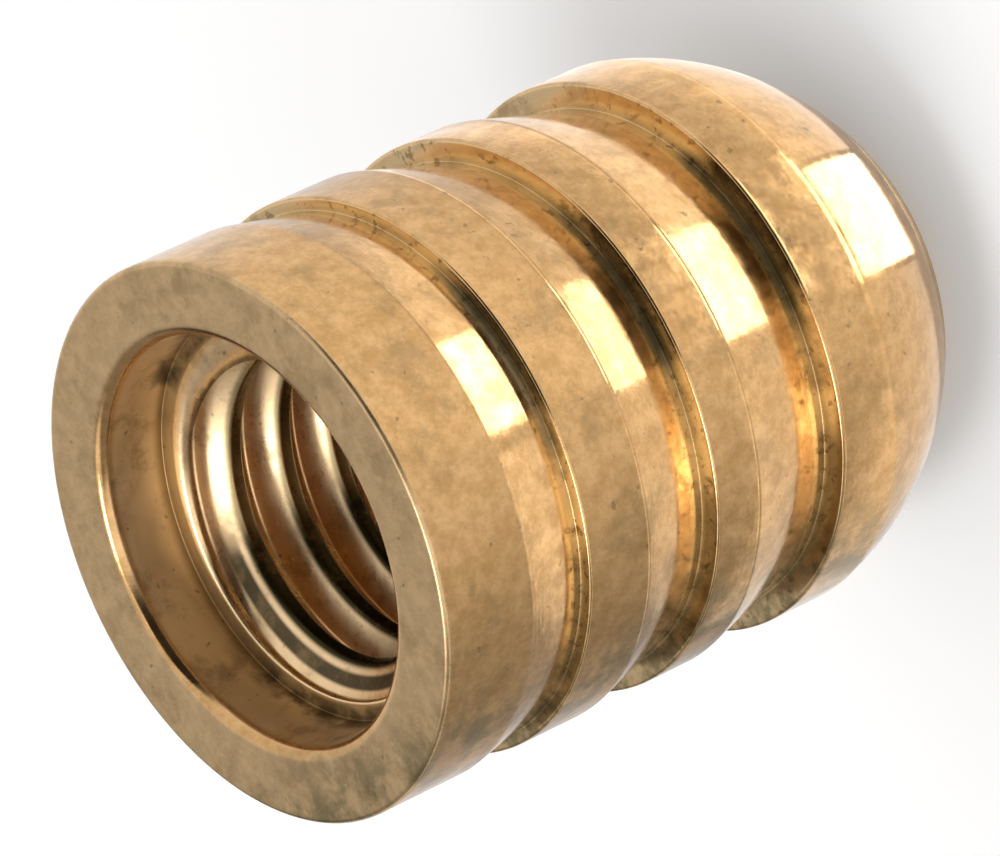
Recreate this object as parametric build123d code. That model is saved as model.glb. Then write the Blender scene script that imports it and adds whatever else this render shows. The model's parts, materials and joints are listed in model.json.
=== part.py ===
from build123d import *
import os

# Threaded insert, turned in one piece from brass bar.
# It is pressed nose first into a drilled hole, and its rings bite into the wall.
# Each ring has a square shoulder towards the mouth and tapers towards the nose,
# so the insert goes in easily and can't be pulled out by its screw.
# The frame has its origin in the middle of the nose face, with +Z up the bore.
# The insert stands on that face, and its mouth is on top. Sizes are in millimetres.

# Metric thread of the screw it takes, and the wall of metal round that thread
thread_d = 6.0
thread_pitch = 1.0
wall = 1.5

# Rings, counted from the mouth down to the nose
first_shoulder = 2.88
shoulder_pitch = 2.615
groove_depths = (0.22, 0.36, 0.42)
taper_lengths = (1.08, 1.29, 1.60)
root_flat = 0.13
last_land = 1.09
shoulder_break = 0.04

# Rounded nose, which ends in a narrow flat ring round the bore
nose_length = 2.80
nose_crown = 0.29
nose_ring = 0.14

# Rounded mouth, with a plain counterbore that guides the screw into the thread
rim_break = 0.08
mouth_rounding = 0.20
counterbore_clearance = 0.3
counterbore_depth = 1.22
exit_break = 0.06

# Sizes that follow from those above
shoulder_count = len(groove_depths)
body_length = first_shoulder + (shoulder_count - 1) * shoulder_pitch + last_land
length = body_length + nose_length
ring_r = thread_d / 2 + wall
bore_r = (thread_d - thread_pitch) / 2
counterbore_r = thread_d / 2 + counterbore_clearance
nose_end_r = bore_r + exit_break + nose_ring


def groove_profile(shoulder_z, depth, taper_length):
    """Section of one groove, which is cut away: taper, short flat root and square shoulder."""
    root_r = ring_r - depth
    root_z = shoulder_z + root_flat
    beyond = ring_r + depth
    return [
        (ring_r, root_z + taper_length),
        (root_r, root_z),
        (root_r, shoulder_z),
        (ring_r - shoulder_break, shoulder_z),
        (ring_r, shoulder_z - shoulder_break),
        (beyond, shoulder_z - shoulder_break),
        (beyond, root_z + taper_length),
    ]


def blank_profile():
    """Section of the outside: nose face, rounded nose, plain side and rim."""
    with BuildSketch(Plane.XZ) as section:
        with BuildLine():
            nose = SagittaArc((nose_end_r, 0), (ring_r, nose_length), -nose_crown)
            Polyline(
                nose @ 1,
                (ring_r, length - rim_break),
                (ring_r - rim_break, length),
                (0, length),
                (0, 0),
                nose @ 0,
            )
        make_face()
    return section.sketch


def bore_profile():
    """Section of the way through: plain bore, square step, counterbore and rounded mouth."""
    counterbore_z = length - counterbore_depth
    with BuildSketch(Plane.XZ) as section:
        with BuildLine():
            mouth = JernArc((counterbore_r, length - mouth_rounding), (0, 1), mouth_rounding, -90)
            Polyline(
                mouth @ 1,
                (0, length),
                (0, 0),
                (bore_r + exit_break, 0),
                (bore_r, exit_break),
                (bore_r, counterbore_z),
                (counterbore_r, counterbore_z),
                mouth @ 0,
            )
        make_face()
    return section.sketch


def insert_body():
    """The whole insert, turned round +Z."""
    section = blank_profile() - bore_profile()
    for number, (depth, taper_length) in enumerate(zip(groove_depths, taper_lengths)):
        shoulder_z = length - first_shoulder - number * shoulder_pitch
        with BuildSketch(Plane.XZ) as groove:
            with BuildLine():
                Polyline(*groove_profile(shoulder_z, depth, taper_length), close=True)
            make_face()
        section -= groove.sketch
    return revolve(section, Axis.Z, 360)


os.makedirs("parts", exist_ok=True)
body = insert_body()
body.label = "insert_body"
export_step(body, "parts/insert_body.step")
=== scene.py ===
import json
from math import atan2, cos, hypot, pi, radians, sin

import bmesh
import bpy
from mathutils import Matrix, Vector


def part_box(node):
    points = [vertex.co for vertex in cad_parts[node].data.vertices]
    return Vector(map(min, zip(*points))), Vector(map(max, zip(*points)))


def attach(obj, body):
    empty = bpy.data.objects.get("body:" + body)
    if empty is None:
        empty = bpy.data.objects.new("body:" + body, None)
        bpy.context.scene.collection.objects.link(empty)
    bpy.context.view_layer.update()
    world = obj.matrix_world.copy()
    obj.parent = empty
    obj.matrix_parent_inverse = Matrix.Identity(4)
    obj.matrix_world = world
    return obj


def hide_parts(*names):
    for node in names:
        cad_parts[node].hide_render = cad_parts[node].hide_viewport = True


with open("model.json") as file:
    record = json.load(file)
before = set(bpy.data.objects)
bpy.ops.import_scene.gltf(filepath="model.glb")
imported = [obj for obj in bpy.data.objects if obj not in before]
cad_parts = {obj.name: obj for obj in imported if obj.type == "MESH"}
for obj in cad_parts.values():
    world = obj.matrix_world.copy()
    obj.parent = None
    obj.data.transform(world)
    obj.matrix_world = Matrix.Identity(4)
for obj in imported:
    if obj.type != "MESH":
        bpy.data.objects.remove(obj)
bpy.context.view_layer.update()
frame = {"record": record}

# The insert is modelled in millimetres and scaled to metres as the last step
MM = 0.001

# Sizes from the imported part
NODE = "insert_body"
mounts = {mount["name"]: mount for mount in frame["record"]["mounts"]}
bore_r = mounts["screw_thread"]["dims"]["r_mm"]
counterbore_r = mounts["counterbore"]["dims"]["r_mm"]
ring_r = mounts["pressed_hole"]["dims"]["r_mm"]
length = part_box(NODE)[1][2] / MM

# Rings, counted from the mouth down to the nose
first_shoulder = 2.88
shoulder_pitch = 2.615
groove_depths = (0.22, 0.36, 0.42)
taper_lengths = (1.08, 1.29, 1.60)
root_flat = 0.13

# Rounded nose, mouth and counterbore
nose_length = 2.80
nose_crown = 0.29
nose_ring = 0.14
exit_break = 0.06
rim_break = 0.08
mouth_rounding = 0.20
counterbore_depth = 1.22

# Internal thread, which runs out above the nose
thread_pitch = 1.0
thread_height = 0.5
thread_root_flat = 0.12
thread_crest_flat = 0.22
thread_rounding = 0.04
thread_start = 0.07
runout_top = 2.6
runout_end = 1.4

# Softness of the turned edges, and fineness of the mesh
edge_rounding = 0.04
corner_rounding = 0.012
hold = 0.03
joint_gap = 0.04
AROUND = 228
NOSE_STEPS = 22
MOUTH_STEPS = 12
RIM_STEPS = 8

# Colours of the finish, from the outside to the inside, of the shade painted on it, and of the dirt on it
dull_brass = (0.57, 0.325, 0.125)
pale_brass = (0.76, 0.46, 0.205)
dull_face = (0.58, 0.39, 0.20)
pale_face = (0.74, 0.505, 0.265)
groove_brass = (0.84, 0.60, 0.32)
cup_brass = (0.95, 0.74, 0.47)
# Painted shade on the counterbore's step
shaded_step_brass = (0.50, 0.34, 0.17)
thread_brass = (0.98, 0.70, 0.40)
# Painted shade deep in the thread
shaded_deep_brass = (0.80, 0.52, 0.27)
# Painted shade on the thread's crests, darker on the -X side, and on the first turn's root
painted_crest_shade = (0.42, 0.32, 0.17)
painted_dark_crest_shade = (0.04, 0.035, 0.015)
painted_root_start_shade = (0.10, 0.075, 0.04)
pit_brown = (0.30, 0.18, 0.07)
stain_brown = (0.34, 0.22, 0.10)
# Painted shade in patches towards the -X edge
painted_side_shade = (0.16, 0.14, 0.065)
speck_brown = (0.24, 0.16, 0.08)
# Painted shade in the grooves' corners
painted_corner_shade = (0.05, 0.06, 0.025)
# Painted shade at the foot of the counterbore
painted_cup_shade = (0.10, 0.07, 0.035)

# Depth of the relief on the brass, and the spacing of its turning marks
relief_depth = 0.0036
mark_spacing = 0.11

# Pale floor, and how much light it adds where it is seen or mirrored
floor_half = 0.6
floor_grey = (0.85, 0.85, 0.85)
floor_lift = 0.26

# The cards that the brass mirrors lie this high over the floor, so that the upper ones hide the lower
card_low = 0.02
card_middle = 0.03
card_high = 0.04

# The photograph's view: the bore's axis points away from the camera and rises to the right
PHOTO = (1000, 856)
mouth_pixel = (244.5, 545)
axis_rise = 25.2
view_off_axis = 54.5
camera_distance = 156.0
lens = 375.7
sensor = 36.0

# Sizes that follow from those above
counterbore_z = length - counterbore_depth
thread_r = bore_r + thread_height
shoulders = [length - first_shoulder - number * shoulder_pitch for number in range(len(groove_depths))]


def turned_profile():
    """Section as (radius, height), with the sets of its arc points and its inner corners.

    It runs from the counterbore's step over the mouth, rings and nose to the plain end of the bore.
    """
    mouth_centre = (counterbore_r + mouth_rounding, length - mouth_rounding)
    mouth = arc(mouth_centre, mouth_rounding, pi, pi / 2, MOUTH_STEPS)
    rim = arc((ring_r - rim_break, length - rim_break), rim_break, pi / 2, 0.0, RIM_STEPS)
    nose = nose_arc()
    points = [(thread_r + joint_gap, counterbore_z), (counterbore_r, counterbore_z)] + mouth + rim
    inner = {(counterbore_r, counterbore_z)}
    for shoulder_z, depth, taper_length in zip(shoulders, groove_depths, taper_lengths):
        root = [(ring_r - depth, shoulder_z + root_flat), (ring_r - depth, shoulder_z)]
        points += [(ring_r, shoulder_z + root_flat + taper_length)] + root + [(ring_r, shoulder_z)]
        inner.update(root)
    points += nose + [(bore_r + exit_break, 0.0), (bore_r, exit_break), (bore_r, runout_end - joint_gap)]
    smooth = set(mouth + rim + nose[1:-1])
    return points, smooth, inner


def arc(centre, radius, start, end, steps):
    """Points of (radius, height) on an arc between two angles."""
    angles = [start + (end - start) * step / steps for step in range(steps + 1)]
    return [(centre[0] + radius * cos(angle), centre[1] + radius * sin(angle)) for angle in angles]


def nose_arc():
    """Points down the rounded nose, on the arc that its chord and its crown give."""
    top = Vector((ring_r, nose_length))
    foot = Vector((bore_r + exit_break + nose_ring, 0.0))
    half = (foot - top).length / 2
    radius = (half**2 + nose_crown**2) / (2 * nose_crown)
    inward = Vector(((foot - top).y, (top - foot).x)).normalized()
    centre = (top + foot) / 2 + inward * (radius - nose_crown)
    start = atan2(top.y - centre.y, top.x - centre.x)
    end = atan2(foot.y - centre.y, foot.x - centre.x)
    return arc(centre, radius, start, end, NOSE_STEPS)


def chain(bm, points):
    """An open chain of edges in the XZ plane through points of (radius, height)."""
    verts = [bm.verts.new((r, 0.0, z)) for r, z in points]
    for pair in zip(verts, verts[1:]):
        bm.edges.new(pair)
    return verts


def soften(bm, corners, rounding):
    """Rounds these corners of a chain by that much."""
    bmesh.ops.bevel(
        bm, geom=corners, offset=rounding, offset_type="OFFSET", segments=3,
        profile=0.5, affect="VERTICES", material=-1,
    )


def hold_flats(bm, distance):
    """Adds a point close to each end of every long straight, so that its shading stays flat."""
    for edge in [e for e in bm.edges if e.calc_length() > 4 * distance]:
        first, second = edge.verts
        bmesh.utils.edge_split(edge, first, distance / edge.calc_length())
        rest = next(e for e in second.link_edges if e.calc_length() > 2 * distance and e.is_wire)
        bmesh.utils.edge_split(rest, second, distance / rest.calc_length())


def spin(bm, rise, closed):
    """Turns the chain once round the bore's axis, rising by that much."""
    bmesh.ops.spin(
        bm, geom=bm.verts[:] + bm.edges[:], cent=(0, 0, 0), axis=(0, 0, 1),
        dvec=(0, 0, rise / AROUND), angle=2 * pi, steps=AROUND, use_merge=closed,
    )


def outside():
    """The turned surfaces, from the counterbore's step over the rings and nose into the bore."""
    bm = bmesh.new()
    points, smooth, inner = turned_profile()
    verts = chain(bm, points)
    middle = list(zip(points, verts))[1:-1]
    soften(bm, [vert for point, vert in middle if point in inner], corner_rounding)
    soften(bm, [vert for point, vert in middle if point not in smooth | inner], edge_rounding)
    hold_flats(bm, hold)
    spin(bm, 0.0, True)
    return bm


def thread_wall():
    """The helical wall, cut off square at the counterbore's step and running out below."""
    flank = (thread_pitch - thread_root_flat - thread_crest_flat) / 2
    heights = [0.0, thread_root_flat / 2]
    for rise in (flank, thread_crest_flat, flank, thread_root_flat / 2):
        heights.append(heights[-1] + rise)
    radii = (thread_r, thread_r, bore_r, bore_r, thread_r, thread_r)
    turns = int((counterbore_z - runout_end) / thread_pitch) + 2
    lowest = runout_end - thread_pitch - thread_start

    bm = bmesh.new()
    verts = chain(bm, [(r, lowest + z) for r, z in zip(radii, heights)])
    soften(bm, verts[1:-1], thread_rounding)
    bmesh.ops.subdivide_edges(bm, edges=[e for e in bm.edges if e.calc_length() > 0.15], cuts=4)
    spin(bm, thread_pitch, False)
    one_turn = bm.verts[:] + bm.edges[:] + bm.faces[:]
    for turn in range(1, turns):
        copy = bmesh.ops.duplicate(bm, geom=one_turn)["geom"]
        rest = [part for part in copy if isinstance(part, bmesh.types.BMVert)]
        bmesh.ops.translate(bm, vec=(0, 0, turn * thread_pitch), verts=rest)
    bmesh.ops.remove_doubles(bm, verts=bm.verts, dist=0.002)
    for height, side in ((counterbore_z, 1), (runout_end, -1)):
        bmesh.ops.bisect_plane(
            bm, geom=bm.verts[:] + bm.edges[:] + bm.faces[:], dist=0.0005,
            plane_co=(0, 0, height), plane_no=(0, 0, side), clear_outer=True,
        )
    for vert in bm.verts:
        radius = hypot(vert.co.x, vert.co.y)
        run = min(max((vert.co.z - runout_end) / (runout_top - runout_end), 0.0), 1.0)
        wanted = bore_r + (radius - bore_r) * run
        vert.co.x *= wanted / radius
        vert.co.y *= wanted / radius
    return bm


def insert_piece():
    """The whole insert as one closed mesh."""
    bm = outside()
    wall = thread_wall()
    mesh = bpy.data.meshes.new("insert")
    wall.to_mesh(mesh)
    wall.free()
    bm.from_mesh(mesh)
    rims = [e for e in bm.edges if e.is_boundary]
    middle = (counterbore_z + runout_end) / 2
    for upper in (True, False):
        ends = [e for e in rims if (e.verts[0].co.z > middle) == upper]
        bmesh.ops.bridge_loops(bm, edges=ends)
    bmesh.ops.recalc_face_normals(bm, faces=bm.faces)
    for face in bm.faces:
        face.smooth = True
    bmesh.ops.scale(bm, vec=(MM, MM, MM), verts=bm.verts)
    bm.to_mesh(mesh)
    bm.free()
    piece = bpy.data.objects.new("turned_insert", mesh)
    bpy.context.scene.collection.objects.link(piece)
    return piece


class Nodes:
    """The nodes of one material or of the world, with short names for the usual steps."""

    def __init__(self, tree):
        self.tree = tree

    def new(self, kind):
        return self.tree.nodes.new(kind)

    def feed(self, value, socket):
        """Gives a socket a number or a colour, or joins another node to it."""
        if isinstance(value, float):
            socket.default_value = value
        elif isinstance(value, tuple):
            socket.default_value = (*value, 1)
        else:
            self.tree.links.new(value, socket)

    def combine(self, operation, one, two=0.0):
        node = self.new("ShaderNodeMath")
        node.operation = operation
        self.feed(one, node.inputs[0])
        self.feed(two, node.inputs[1])
        return node.outputs["Value"]

    def times(self, *values):
        product = values[0]
        for value in values[1:]:
            product = self.combine("MULTIPLY", product, value)
        return product

    def plus(self, *values):
        total = values[0]
        for value in values[1:]:
            total = self.combine("ADD", total, value)
        return total

    def ramp(self, value, low, high, to_low=0.0, to_high=1.0):
        """Goes smoothly from one level to another while the value goes from low to high."""
        node = self.new("ShaderNodeMapRange")
        node.interpolation_type = "SMOOTHSTEP"
        self.feed(value, node.inputs["Value"])
        self.feed(low, node.inputs["From Min"])
        self.feed(high, node.inputs["From Max"])
        self.feed(to_low, node.inputs["To Min"])
        self.feed(to_high, node.inputs["To Max"])
        return node.outputs["Result"]

    def past(self, value, low, high, to_low=0.0, to_high=1.0):
        """The same for a place on the insert, in millimetres."""
        return self.ramp(value, low * MM, high * MM, to_low, to_high)

    def within(self, value, low, high, blur):
        """One between two places on the insert in millimetres, and nothing outside them."""
        return self.times(self.past(value, low - blur, low), self.past(value, high + blur, high))

    def level(self, factor, one, two):
        """A level between two levels."""
        node = self.new("ShaderNodeMix")
        self.feed(factor, node.inputs["Factor"])
        self.feed(one, node.inputs["A"])
        self.feed(two, node.inputs["B"])
        return node.outputs["Result"]

    def paint(self, factor, one, two):
        """A colour between two colours."""
        node = self.new("ShaderNodeMix")
        node.data_type = "RGBA"
        self.feed(factor, node.inputs["Factor"])
        for name, colour in (("A", one), ("B", two)):
            self.feed(colour, next(s for s in node.inputs if s.name == name and s.type == "RGBA"))
        return next(s for s in node.outputs if s.type == "RGBA")

    def noise(self, place, scale, detail, roughness, seed):
        """Noise of so many lumps a millimetre, moved by its seed."""
        shift = self.new("ShaderNodeMapping")
        self.feed(place, shift.inputs["Vector"])
        shift.inputs["Location"].default_value = (seed, seed * 0.37, seed * 0.71)
        node = self.new("ShaderNodeTexNoise")
        self.feed(shift.outputs[0], node.inputs["Vector"])
        self.feed(scale / MM, node.inputs["Scale"])
        self.feed(detail, node.inputs["Detail"])
        self.feed(roughness, node.inputs["Roughness"])
        return node.outputs["Fac"]

    def axes(self, place):
        """The X, Y and Z of a place or a direction."""
        parts = self.new("ShaderNodeSeparateXYZ")
        self.feed(place, parts.inputs[0])
        return parts.outputs["X"], parts.outputs["Y"], parts.outputs["Z"]

    def azimuth(self, x, y):
        """Angle of a place round the bore's axis, from the camera's side (-Y) towards -X."""
        return self.combine("ARCTAN2", self.times(x, -1.0), self.times(y, -1.0))


def brass():
    """Turned brass: tarnished a little where it is exposed, and fresher in the grooves and the bore."""
    material = bpy.data.materials.new("turned_brass")
    material.use_nodes = True
    nodes = Nodes(material.node_tree)
    shader = nodes.tree.nodes["Principled BSDF"]
    shader.inputs["Metallic"].default_value = 1.0

    place = nodes.new("ShaderNodeTexCoord").outputs["Object"]
    east, north, height = nodes.axes(place)
    flat = nodes.new("ShaderNodeCombineXYZ")
    nodes.feed(east, flat.inputs["X"])
    nodes.feed(north, flat.inputs["Y"])
    reach = nodes.new("ShaderNodeVectorMath")
    reach.operation = "LENGTH"
    nodes.feed(flat.outputs[0], reach.inputs[0])
    radius = reach.outputs["Value"]

    # Parts of the insert, and the side of it that is lowest in the photograph
    low_side = nodes.past(east, 0.4, -0.2)
    shaded_side = nodes.past(east, -3.0, -4.2)
    face = nodes.times(nodes.past(height, length - 0.10, length - 0.03),
                       nodes.past(radius, counterbore_r + 0.10, counterbore_r + 0.20))
    rim = nodes.times(nodes.past(height, length - 0.14, length - 0.08),
                      nodes.past(radius, ring_r - 0.12, ring_r - 0.06))
    cup = nodes.times(nodes.past(radius, counterbore_r + 0.10, counterbore_r),
                      nodes.past(height, length - 0.05, length - 0.30))
    step = nodes.times(nodes.past(height, counterbore_z + 0.22, counterbore_z + 0.02), cup)
    thread = nodes.times(nodes.past(radius, thread_r + 0.05, thread_r + 0.01),
                         nodes.past(height, runout_top - 1.0, runout_top - 0.2))
    crest = nodes.times(nodes.past(radius, bore_r + 0.12, bore_r + 0.04), thread)
    root = nodes.times(nodes.past(radius, thread_r - 0.16, thread_r), thread)
    deep = nodes.times(nodes.past(height, 9.0, 8.6), root)
    start = nodes.times(nodes.past(height, 10.2, 10.35), low_side, nodes.within(radius, 2.70, 2.84, 0.06))

    # Tarnish in faint clouds, cleaner metal in the bore, and painted shade on the counterbore's step, deep in
    # the thread, on the first turn's root on the -X side, and on the thread's crests, darkest on the -X side
    cloud = nodes.ramp(nodes.noise(place, 3.0, 6.0, 0.75, 1.0), 0.32, 0.68)
    colour = nodes.paint(cloud, dull_brass, pale_brass)
    colour = nodes.paint(face, colour, nodes.paint(cloud, dull_face, pale_face))
    colour = nodes.paint(cup, colour, cup_brass)
    colour = nodes.paint(step, colour, shaded_step_brass)
    colour = nodes.paint(thread, colour, thread_brass)
    colour = nodes.paint(deep, colour, shaded_deep_brass)
    colour = nodes.paint(start, colour, painted_root_start_shade)
    colour = nodes.paint(crest, colour, nodes.paint(low_side, painted_crest_shade, painted_dark_crest_shade))

    # Cleaner metal low in each groove, with small pits in it, and painted shade in its corner, strongest for
    # X between -0.1 and 2.1 mm
    patchy = nodes.ramp(nodes.noise(place, 0.9, 3.0, 0.5, 12.0), 0.35, 0.65, 0.35, 1.0)
    pits = nodes.times(nodes.ramp(nodes.noise(place, 4.5, 3.0, 0.6, 21.0), 0.58, 0.66), 0.7)
    corners = 0.0
    for shoulder_z, depth in zip(shoulders, groove_depths):
        clean = nodes.times(nodes.within(height, shoulder_z - 0.03, shoulder_z + 0.2, 0.1),
                            nodes.within(radius, ring_r - 0.50, ring_r - 0.04, 0.04))
        colour = nodes.paint(clean, colour, groove_brass)
        colour = nodes.paint(nodes.times(clean, pits), colour, pit_brown)
        corner = nodes.times(nodes.within(height, shoulder_z - 0.02, shoulder_z + 0.09, 0.13),
                             nodes.past(radius, ring_r - depth + 0.14, ring_r - depth + 0.04))
        corners = nodes.combine("MAXIMUM", corners, corner)
    outer = nodes.past(radius, ring_r - 0.6, ring_r - 0.5)
    shade_sides = nodes.times(nodes.past(east, -0.9, -0.1, 0.3, 1.0), nodes.past(east, 2.8, 2.1, 0.25, 1.0))
    corner_shade = nodes.times(corners, patchy, outer, shade_sides)

    # Brown stains, painted shade in patches towards the -X edge, and small dark specks
    stain = nodes.ramp(nodes.noise(place, 1.1, 5.0, 0.7, 6.0), 0.49, 0.68)
    colour = nodes.paint(nodes.times(stain, 0.5), colour, stain_brown)
    side_shade_patches = nodes.ramp(nodes.noise(place, 1.5, 5.0, 0.7, 15.0), 0.38, 0.62)
    colour = nodes.paint(nodes.times(shaded_side, side_shade_patches, 0.7), colour, painted_side_shade)
    speck = nodes.ramp(nodes.noise(place, 5.0, 2.0, 0.5, 4.0), 0.695, 0.76)
    colour = nodes.paint(nodes.times(speck, 0.6), colour, speck_brown)
    # Painted shade in the grooves' corners
    colour = nodes.paint(nodes.times(corner_shade, 0.85), colour, painted_corner_shade)

    # Painted shade, in lumps, at the foot of the counterbore's wall on its -X and +X sides
    foot = nodes.times(nodes.within(height, counterbore_z - 0.08, counterbore_z + 0.17, 0.25),
                       nodes.within(radius, counterbore_r - 0.18, counterbore_r + 0.10, 0.1))
    lumps = nodes.ramp(nodes.noise(place, 1.3, 4.0, 0.6, 30.0), 0.40, 0.58, 0.1, 1.0)
    sides = nodes.combine("MAXIMUM", nodes.past(east, -0.9, -2.2), nodes.past(east, 2.0, 2.8))
    colour = nodes.paint(nodes.times(foot, lumps, sides, 0.8), colour, painted_cup_shade)
    nodes.feed(colour, shader.inputs["Base Color"])

    # The face and the cup are duller than the rings, and the thread shines
    grain = nodes.ramp(nodes.noise(place, 2.6, 3.0, 0.6, 9.0), 0.3, 0.7, 0.11, 0.20)
    rough = nodes.plus(grain, nodes.times(corner_shade, 0.4), nodes.times(nodes.combine("MAXIMUM", face, rim), 0.16),
                       nodes.times(cup, 0.30), nodes.times(thread, -0.16))
    nodes.feed(rough, shader.inputs["Roughness"])

    # Fine turning marks and a slightly uneven surface
    marks = nodes.combine("SINE", nodes.times(nodes.plus(height, radius), 2 * pi / (mark_spacing * MM)))
    uneven = nodes.noise(place, 2.8, 3.0, 0.55, 2.0)
    bump = nodes.new("ShaderNodeBump")
    bump.inputs["Strength"].default_value = 1.0
    bump.inputs["Distance"].default_value = relief_depth * MM
    nodes.feed(nodes.plus(nodes.times(marks, 0.01), uneven), bump.inputs["Height"])
    nodes.feed(bump.outputs["Normal"], shader.inputs["Normal"])
    return material


def floor():
    """A plain pale floor, a little lighter where it is seen or mirrored than where it lights the brass."""
    bm = bmesh.new()
    bmesh.ops.create_grid(bm, x_segments=1, y_segments=1, size=floor_half)
    mesh = bpy.data.meshes.new("floor")
    bm.to_mesh(mesh)
    bm.free()
    sheet = bpy.data.objects.new("floor", mesh)
    bpy.context.scene.collection.objects.link(sheet)
    material = bpy.data.materials.new("floor_paper")
    material.use_nodes = True
    nodes = Nodes(material.node_tree)
    shader = nodes.tree.nodes["Principled BSDF"]
    shader.inputs["Base Color"].default_value = (*floor_grey, 1)
    shader.inputs["Roughness"].default_value = 0.9
    shader.inputs["Specular IOR Level"].default_value = 0.0
    path = nodes.new("ShaderNodeLightPath")
    seen = path.outputs["Is Camera Ray"]
    for kind in ("Is Glossy Ray", "Is Transmission Ray"):
        seen = nodes.combine("MAXIMUM", seen, path.outputs[kind])
    shader.inputs["Emission Color"].default_value = (1, 1, 1, 1)
    nodes.feed(nodes.times(seen, floor_lift), shader.inputs["Emission Strength"])
    material.cycles.emission_sampling = "NONE"
    mesh.materials.append(material)


def camera():
    """The photograph's camera, which looks into the mouth and is rolled until the axis rises to the right."""
    off = radians(view_off_axis)
    to_nose = Vector((0, 0, -1))
    to_side = Vector((0, -1, 0))
    across = to_nose.cross(to_side)
    along = to_nose * sin(off) + to_side * cos(off)
    back = to_side * sin(off) - to_nose * cos(off)
    rise = radians(axis_rise)
    right = along * cos(rise) + across * sin(rise)
    up = along * sin(rise) - across * cos(rise)
    pixels = lens / sensor * PHOTO[0]
    x = (mouth_pixel[0] - PHOTO[0] / 2) / pixels * camera_distance
    y = (PHOTO[1] / 2 - mouth_pixel[1]) / pixels * camera_distance
    place = Vector((0, 0, length)) + back * camera_distance - right * x - up * y
    data = bpy.data.cameras.new("camera")
    data.lens = lens
    data.sensor_width = sensor
    data.clip_start = 0.01
    data.clip_end = 2.0
    rig = bpy.data.objects.new("camera", data)
    turn = Matrix((right, up, back)).transposed().to_4x4()
    rig.matrix_world = Matrix.Translation(place * MM) @ turn
    bpy.context.scene.collection.objects.link(rig)
    bpy.context.scene.camera = rig


def compass(azimuth, elevation):
    """Direction with its azimuth taken from the camera's side (-Y) towards -X, both in degrees."""
    turn, rise = radians(azimuth), radians(elevation)
    return Vector((-sin(turn) * cos(rise), -cos(turn) * cos(rise), sin(rise)))


def studio():
    """Soft light from all round, with round spots behind the object and panels on the camera's side.

    A spot is (azimuth, elevation, radius, blur, level) and a panel is
    (first azimuth, last azimuth, first elevation, last elevation, blur, level), in degrees.
    """
    spots = (
        (0, 90, 10, 6, 2.6),
        (190, 35, 50, 25, 0.84),
        (140, 30, 24, 26, 0.45),
        (150, 2, 24, 8, 0.05),
        (75, 60, 28, 10, 1.1),
        (88, 72, 8, 4, 9.0),
    )
    panels = (
        (60, 160, -5, 45, 6, 0.3),
        (8, 54, -5, 60, 5, 1.3),
        (-64, 5, -5, 73, 3, 0.03),
    )
    world = bpy.data.worlds.new("studio")
    bpy.context.scene.world = world
    world.use_nodes = True
    nodes = Nodes(world.node_tree)
    where = nodes.new("ShaderNodeTexCoord").outputs["Generated"]
    east, north, rise = nodes.axes(where)

    level = 0.9
    for azimuth, elevation, radius, blur, brightness in spots:
        dot = nodes.new("ShaderNodeVectorMath")
        dot.operation = "DOT_PRODUCT"
        nodes.feed(where, dot.inputs[0])
        dot.inputs[1].default_value = compass(azimuth, elevation)
        mask = nodes.ramp(dot.outputs["Value"], cos(radians(radius + blur)), cos(radians(radius)))
        level = nodes.level(mask, level, brightness)

    across = nodes.azimuth(east, north)
    upward = nodes.combine("ARCSINE", rise)
    for first, last, lowest, highest, blur, brightness in panels:
        mask = nodes.times(
            nodes.ramp(across, radians(first - blur), radians(first + blur)),
            nodes.ramp(across, radians(last + blur), radians(last - blur)),
            nodes.ramp(upward, radians(lowest - blur), radians(lowest + blur)),
            nodes.ramp(upward, radians(highest + blur), radians(highest - blur)),
        )
        level = nodes.level(mask, level, brightness)
    background = nodes.tree.nodes["Background"]
    background.inputs["Color"].default_value = (1, 1, 1, 1)
    nodes.feed(level, background.inputs["Strength"])


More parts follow.
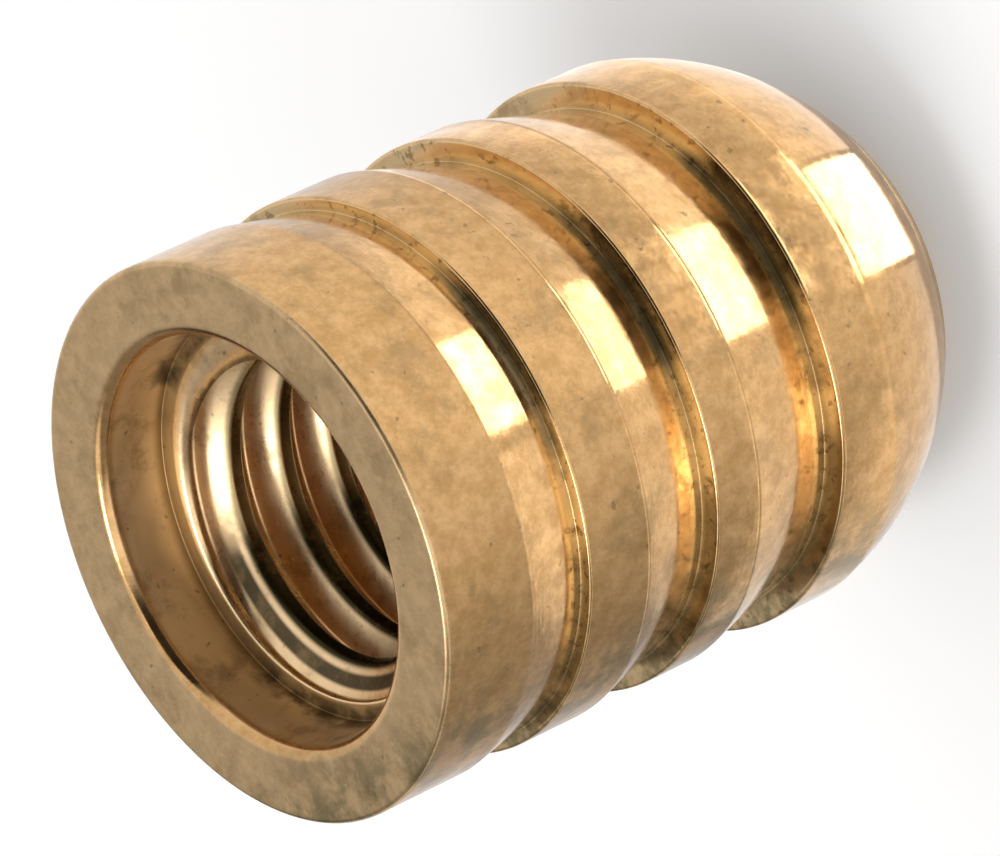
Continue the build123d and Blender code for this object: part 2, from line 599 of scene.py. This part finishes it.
def card(name, inner, outer, start, end, level, height=card_low, fade=None):
    """A sector of a ring just over the floor, which shows only in the brass.

    Its angles are taken from the camera's side, as a compass takes them.
    A fade is (first, full, full_end, last, outside): its level goes smoothly from the outside value
    at the first angle to its own level between the two middle angles, and back again.
    """
    bm = bmesh.new()
    first = compass(start, 0)
    bm.edges.new([bm.verts.new((first.x * r, first.y * r, height)) for r in (inner, outer)])
    bmesh.ops.spin(
        bm, geom=bm.verts[:] + bm.edges[:], cent=(0, 0, 0), axis=(0, 0, 1), dvec=(0, 0, 0),
        angle=-radians(end - start), steps=max(12, round((end - start) / 4)), use_merge=False,
    )
    bmesh.ops.scale(bm, vec=(MM, MM, MM), verts=bm.verts)
    mesh = bpy.data.meshes.new(name)
    bm.to_mesh(mesh)
    bm.free()
    sheet = bpy.data.objects.new(name, mesh)
    bpy.context.scene.collection.objects.link(sheet)
    material = bpy.data.materials.new(name)
    material.use_nodes = True
    nodes = Nodes(material.node_tree)
    if fade:
        opens, full, full_end, closes, outside_level = fade
        east, north, _ = nodes.axes(nodes.new("ShaderNodeTexCoord").outputs["Object"])
        angle = nodes.azimuth(east, north)
        shown = nodes.times(nodes.ramp(angle, radians(opens), radians(full)),
                            nodes.ramp(angle, radians(closes), radians(full_end)))
        level = nodes.level(shown, float(outside_level), level)
    depth = nodes.new("ShaderNodeLightPath").outputs["Diffuse Depth"]
    glow = nodes.new("ShaderNodeEmission")
    nodes.feed(nodes.times(nodes.combine("LESS_THAN", depth, 0.5), level), glow.inputs["Strength"])
    nodes.feed(glow.outputs["Emission"], nodes.tree.nodes["Material Output"].inputs["Surface"])
    material.cycles.emission_sampling = "NONE"
    mesh.materials.append(material)
    sheet.visible_camera = False
    sheet.visible_diffuse = False
    sheet.visible_shadow = False


piece = insert_piece()
piece.data.materials.append(brass())
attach(piece, "root")
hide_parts(NODE)
floor()
studio()

# Bright cards for the white bands on the nose and the tapers, each as long as its band
card("nose_card", 3.4, 5.70, -29, 6, 5.0)
card("third_card", 6.05, 7.1, -33, 7, 5.0)
card("second_card", 7.15, 7.86, -37, 7, 4.6)
card("first_card", 10.0, 11.2, -37, 8, 7.0)

# Paler stretches below and above the white bands
card("low_nose_card", 3.4, 5.9, 8, 110, 1.0, card_high, fade=(6, 7, 60, 100, 0.9))
card("low_third_card", 6.05, 7.1, 9, 110, 1.12, card_high, fade=(6, 7, 60, 100, 0.9))
card("low_second_card", 7.15, 8.0, 9, 110, 1.2, card_high, fade=(6, 7, 60, 100, 0.9))
card("low_first_card", 10.0, 11.2, 10, 110, 1.5, card_high, fade=(6, 7, 50, 100, 0.9))
card("high_nose_card", 3.4, 5.9, -180, -31, 1.35, card_high, fade=(-170, -90, -30, -29, 1.0))
card("high_third_card", 6.05, 7.1, -180, -35, 1.6, card_high, fade=(-170, -90, -34, -33, 1.0))
card("high_second_card", 7.15, 7.86, -180, -39, 1.3, card_high, fade=(-170, -90, -38, -37, 1.0))
card("high_first_card", 10.0, 11.2, -180, -39, 1.6, card_high, fade=(-170, -90, -38, -37, 1.0))

# Greys that the plain rings and the rim mirror
card("ring_edge_card", 9.2, 9.95, -40, 10, 0.35)
card("inner_grey_card", 8.0, 9.2, -180, 180, 0.84)
card("outer_grey_card", 11.3, 14.4, -180, 180, 0.84)
card("pale_card", 14.9, 17.9, -180, 180, 1.14, fade=(-90, -20, 181, 182, 1.0))
card("side_card", 8.6, 40.0, 2, 178, 0.42, card_middle, fade=(4, 85, 105, 176, 0.95))

camera()
bpy.context.scene.view_settings.view_transform = "Standard"
